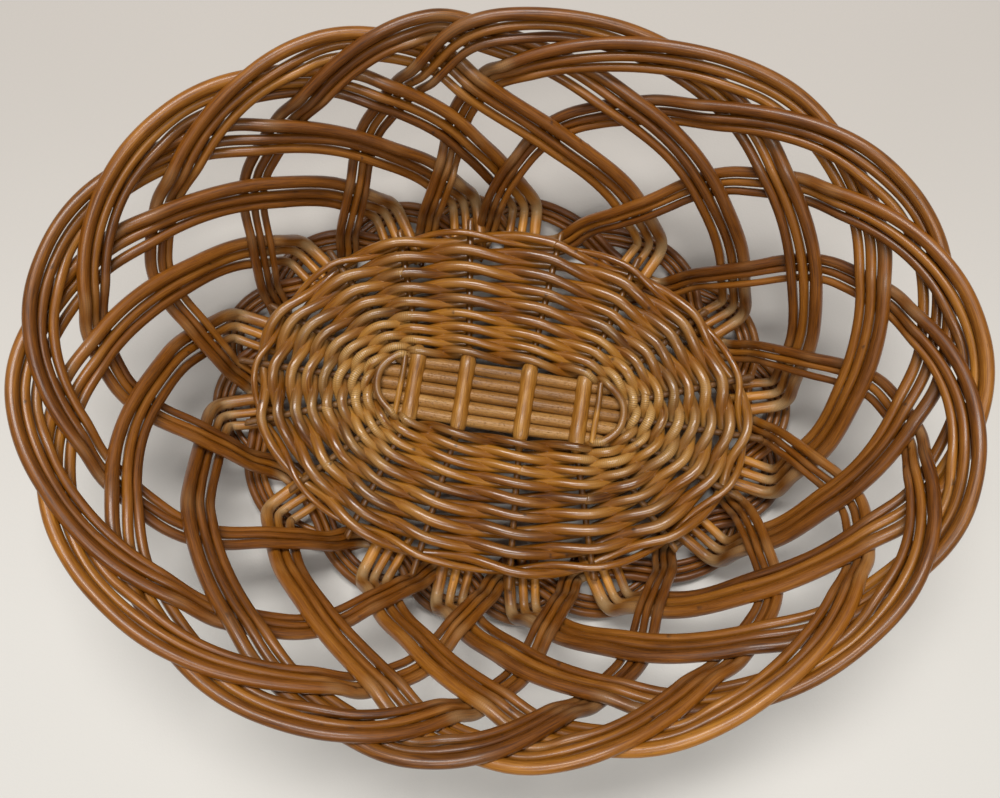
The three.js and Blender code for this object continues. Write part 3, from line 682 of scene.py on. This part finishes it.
# The two ends of a group: place along it and turn round the basket in group spacings, reach past
# the base edge, height, and how far its flat side faces down (1) and not out of the wall (0).
BUTT_END = [(-0.40, 0.00, -14, butt_up, 1), (-0.14, 0.00, 0, butt_up + 0.3, 1),
            (-0.06, 0.00, 6, butt_up + 0.8, 1), (0.0, 0.00, 12.5, butt_up + 1.8, 0.9),
            (0.03, 0.01, 15.5, butt_up + 3.8, 0.5), (0.07, 0.05, 16.6, base_up - 0.6, 0.15)]
FOOT_PATH = [(5.5, 8, base_up - 1, 0.2), (5.57, 3.5, butt_up + 1, 0.6), (5.65, 0, foot_high + 1, 0.9),
             (5.78, -2, foot_high, 1), (6, -1.5, foot_high, 1), (6.25, 3, foot_high, 1),
             (6.5, FOOT_REACH - 13.5, foot_high, 1), (6.72, FOOT_REACH - 8.5, foot_high - 0.2, 1),
             (6.94, FOOT_REACH - 6, (foot_low + foot_high) / 2, 1),
             (FOOT_FLAT, FOOT_REACH - 6.8, foot_low, 1),
             (7.3, FOOT_REACH - 9.5, foot_low, 1), (7.5, FOOT_REACH - 15, foot_low, 1),
             (7.7, -1.5, foot_low, 1), (FOOT_END, -11, foot_low, 1)]
KINKS = {8: 0.6, 7: 0.34, 9: 0.34, 3: 0.3}   # groups kinked once more, and after how many spacings
# Passing the group that left the base k places before, a group is outside it (1) or inside (-1).
PASSES = {5: 1, 4: -1, 3: -1, 2: 1, 1: 1}
SLOPE = 0.2                           # spacings over which a group moves in or out of the wall
SHIFT = 2.2                           # how far in or out it moves


def group_stations(number):
    """The route of a group as rows of place, x, y, z and the way its flat side faces."""
    rows = []

    def add_end(place, turn, out, up, tip):
        angle = group_angle(number + turn)
        face = unit(wall_face(angle, 0) * (1 - tip) + np.array([0, 0, -1]) * tip)
        rows.append([place, *oval(angle, EDGE_A + out, EDGE_B + out, up, 1), *face])

    def on_wall(turn):
        angle, share = group_angle(number + turn), wall_share(turn)
        return np.array([turn, *wall_point(angle, share), *wall_face(angle, share)])

    for end in BUTT_END:
        add_end(*end)
    kink = KINKS.get(number, 0)
    for turn in np.arange(0.14, 5.44, 0.125):
        if turn < kink:
            share = (turn - BUTT_END[-1][0]) / (kink - BUTT_END[-1][0])
            rows.append(np.array(rows[len(BUTT_END) - 1]) * (1 - share) + on_wall(kink) * share)
        else:
            rows.append(on_wall(turn))
    for place, *rest in FOOT_PATH:
        add_end(place, place, *rest)
    return np.array(rows)


def group_route(number):
    """A dense table of place, centre, side, face and forward way along a group."""
    stations = group_stations(number)
    ends = np.vstack([2 * stations[0] - stations[1], stations, 2 * stations[-1] - stations[-2]])
    t = np.linspace(0, 1, 25)[:-1, None]
    spans = []
    for p0, p1, p2, p3 in zip(ends, ends[1:], ends[2:], ends[3:]):
        bend = (2 * p0 - 5 * p1 + 4 * p2 - p3) * t**2 + (3 * p1 - p0 - 3 * p2 + p3) * t**3
        span = p1 + (p2 - p0) * t / 2 + bend / 2
        span[:, 0] = (p1[0] + (p2[0] - p1[0]) * t[:, 0])
        spans.append(span)
    dense = np.vstack([*spans, stations[-1:]])
    place, centre, face = dense[:, 0], dense[:, 1:4], dense[:, 4:7]
    forward = unit(np.gradient(centre, axis=0))
    side = unit(np.cross(face, forward))
    return place, centre, side, np.cross(forward, side), forward


def steps(pairs, places):
    """A smooth value through (place, value) pairs, level at each of them."""
    at, values = np.array(pairs).T
    index = np.clip(np.searchsorted(at, places, side="right") - 1, 0, len(at) - 2)
    t = np.clip((places - at[index]) / np.maximum(at[index + 1] - at[index], 1e-6), 0, 1)
    return values[index] + (values[index + 1] - values[index]) * t * t * (3 - 2 * t)


def crossings_of(route):
    """Where a group crosses the others: from, to, shift out of the wall, and lean of the edge."""
    place, centre, _, face, forward = route
    found = []
    for k, way in PASSES.items():
        rising = np.linspace(0.02, SPAN - k, 400)
        apart = np.abs(wall_share(rising) - wall_share(rising + k))
        rising = rising[np.argmin(apart + 9 * (rising > SPAN / 2))]
        for at, other_at, shift in ((rising, rising + k, way), (rising + k, rising, -way)):
            here = np.searchsorted(place, at)
            flat = unit(np.cross((0, 0, 1), face[here]))
            climb = math.atan2(forward[here] @ np.cross(face[here], flat), forward[here] @ flat)
            ahead, behind = (np.array([np.interp(at + d, place, c) for c in centre.T]) for d in (0.02, -0.02))
            length = np.linalg.norm(ahead - behind) / 0.04
            other = 1.5 * rod_at(other_at) + ROD_GAP
            half = min(other / abs(math.sin(2 * climb)) / length, 0.24)
            found.append((at - half * 0.8, at + half * 0.8, shift * SHIFT, 1 / math.tan(2 * climb) / length))
    return sorted(found)


# Along the rim the rods are lightened: painted light, for the up-facing rim catching the light from above.
# The thick ends are paler, and past the rim the rods are a little darker and warmer.
side_willow = willow_finish(
    "side_willow",
    [shade(70, 34, 3), shade(126, 72, 9), shade(160, 102, 28), shade(214, 178, 124), shade(32, 15, 3)],
    {"Streaks": 1.3, "Clouds": 0.7, "Shades": 0.5, "Specks": 0.5, "Pits": 0.0, "Wrinkles": 1.0,
     "Roughness": 0.42}, coat=0.22, relief=0.12, butt=(1.8, 2.2, 4.5), rim=(1.35, 1.5, 2.0),
    far_tint_and_shade=(0.95, 0.92, 0.85))

# How far apart the rods of a group lie, by place along it: they open out under the base edge.
SPREAD = [(-0.4, 1.22), (-0.1, 1.22), (0.1, 1.1), (0.5, 1), (5.2, 1), (5.6, 0.97), (6.2, 0.95), (6.6, 1)]

for number in range(GROUPS):
    rng = np.random.default_rng(500 + number)
    route = group_route(number)
    place, centre, side, face, _ = route
    crossings = crossings_of(route)

    def along(column):
        level = [(at, crossing[column]) for crossing in crossings for at in crossing[:2]]
        return [(level[0][0] - SLOPE, 0.0), *level, (level[-1][0] + SLOPE, 0.0)]

    shifts, leans = along(2), along(3)
    for rod in range(3):
        across_rod = rod - 1
        ratio = OUTER_ROD if rod == 2 else INNER_ROD
        places = np.linspace(-0.4, FOOT_END, 900)
        lane = (across_rod * 1.04 + (0.1 if rod == 2 else 0)) * rod_at(places)
        lane = lane * np.interp(places, *zip(*SPREAD))
        own = places - lane * steps(leans, places)
        at = lambda columns: np.stack([np.interp(own, place, c) for c in columns.T], 1)
        middle, sideways, outwards = at(centre), unit(at(side)), unit(at(face))
        metres = np.r_[0, np.cumsum(np.linalg.norm(np.diff(middle, axis=0), axis=1))]
        free = np.interp(places, [-0.2, 0.4, 5.0, 5.5], [0.25, 1, 1, 0.3])
        stray = (0.55 * drift(rng, metres, 85) + across_rod * 0.35 * (1 + drift(rng, metres, 120))) * free
        bulge = steps(shifts, places) + 0.35 * drift(rng, metres, 60) * free
        line = middle + sideways * (lane + stray)[:, None] + outwards * bulge[:, None]
        size = rod_at(places) * ratio
        line[:, 2] = np.maximum(line[:, 2], size * 0.55)
        rows = even_line(np.column_stack([line, size, outwards]), 1.7)
        name = f"side_rod_{number + 1:02d}{'abc'[rod]}"
        piece = willow_piece(name, rows[:, :3], rows[:, 3], side_willow, 600 + 3 * number + rod,
                             upward=rows[:, 4:7], sides=12, knot_gap=85)
        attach(piece, "root")
        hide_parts(f"side_rods_{number + 1:02d}")

# ==== Cloth, light and camera ===================================================================
# The basket stands on a plain pale cloth under soft light from above, seen from nearly straight
# above and a little in front.

CLOTH_SIZE = 2.4


def build_cloth():
    material = bpy.data.materials.new("pale_cloth")
    material.use_nodes = True
    tree = material.node_tree
    tree.nodes.clear()
    where = put(tree, "ShaderNodeTexCoord", {}).outputs["Object"]
    cloudy = put(tree, "ShaderNodeTexNoise", {"Vector": where, "Scale": 5.0, "Detail": 2.0}).outputs["Fac"]
    weave = put(tree, "ShaderNodeTexNoise", {"Vector": where, "Scale": 900.0, "Detail": 1.0}).outputs["Fac"]
    depth = put(tree, "ShaderNodeSeparateXYZ", {"Vector": where}).outputs["Y"]
    # Towards the back the cloth is painted darker: painted shade, where less light falls on it.
    painted_back_shade = blend_colour(tree, band(tree, depth, -0.22, 0.26), shade(225, 223, 218), shade(194, 189, 183))
    tint = blend_colour(tree, cloudy, painted_back_shade, blend_colour(tree, 1.0, painted_back_shade, shade(248, 248, 247), "MULTIPLY"))
    bump = put(tree, "ShaderNodeBump", {"Height": weave, "Strength": 0.25, "Distance": 0.2 * MM})
    skin = put(tree, "ShaderNodeBsdfPrincipled", {"Base Color": tint, "Roughness": 0.9,
                                                  "Normal": bump.outputs[0]})
    from_below = put(tree, "ShaderNodeNewGeometry", {}).outputs["Backfacing"]
    clear = put(tree, "ShaderNodeBsdfTransparent", {})
    mixed = put(tree, "ShaderNodeMixShader", {0: from_below, 1: skin.outputs[0], 2: clear.outputs[0]})
    put(tree, "ShaderNodeOutputMaterial", {"Surface": mixed.outputs[0]})
    return material


half = CLOTH_SIZE / 2
cloth_mesh = bpy.data.meshes.new("cloth")
corners = [(-half, -half, 0), (half, -half, 0), (half, half, 0), (-half, half, 0)]
cloth_mesh.from_pydata(corners, [], [(0, 1, 2, 3)])
cloth_mesh.materials.append(build_cloth())
cloth = bpy.data.objects.new("cloth", cloth_mesh)
bpy.context.scene.collection.objects.link(cloth)


def soft_light(name, place, aim, size, power, colour=(1, 1, 1)):
    lamp = bpy.data.lights.new(name, "AREA")
    lamp.shape = "RECTANGLE"
    lamp.size, lamp.size_y = size
    lamp.energy = power
    lamp.color = colour
    holder = bpy.data.objects.new(name, lamp)
    holder.location = place
    holder.rotation_euler = (Vector(aim) - Vector(place)).to_track_quat("-Z", "Y").to_euler()
    bpy.context.scene.collection.objects.link(holder)


soft_light("ceiling_front", (0.12, -0.5, 1.55), (0, 0, 0.05), (1.0, 0.3), 9, (1.0, 0.98, 0.96))
soft_light("ceiling_back", (-0.1, 0.55, 1.5), (0, 0, 0.05), (1.0, 0.3), 20, (1.0, 0.98, 0.96))

world = bpy.data.worlds.new("room")
bpy.context.scene.world = world
world.use_nodes = True
world.node_tree.nodes["Background"].inputs["Color"].default_value = (1.0, 0.99, 0.975, 1)
world.node_tree.nodes["Background"].inputs["Strength"].default_value = 0.2

CAMERA_PLACE = (0.002, -0.054, 0.449)
CAMERA_TILTS = (0.1264, 0.0053, 0.0287)
camera = bpy.data.cameras.new("camera")
camera.lens = 30.0
camera.sensor_width = 36.0
camera.clip_start = 0.01
eye = bpy.data.objects.new("camera", camera)
turned = Matrix.Identity(4)
for tilt, axis in zip(CAMERA_TILTS, "XYZ"):
    turned = turned @ Matrix.Rotation(tilt, 4, axis)
eye.matrix_world = Matrix.Translation(CAMERA_PLACE) @ turned
bpy.context.scene.collection.objects.link(eye)
bpy.context.scene.camera = eye
bpy.context.scene.view_settings.view_transform = "Standard"
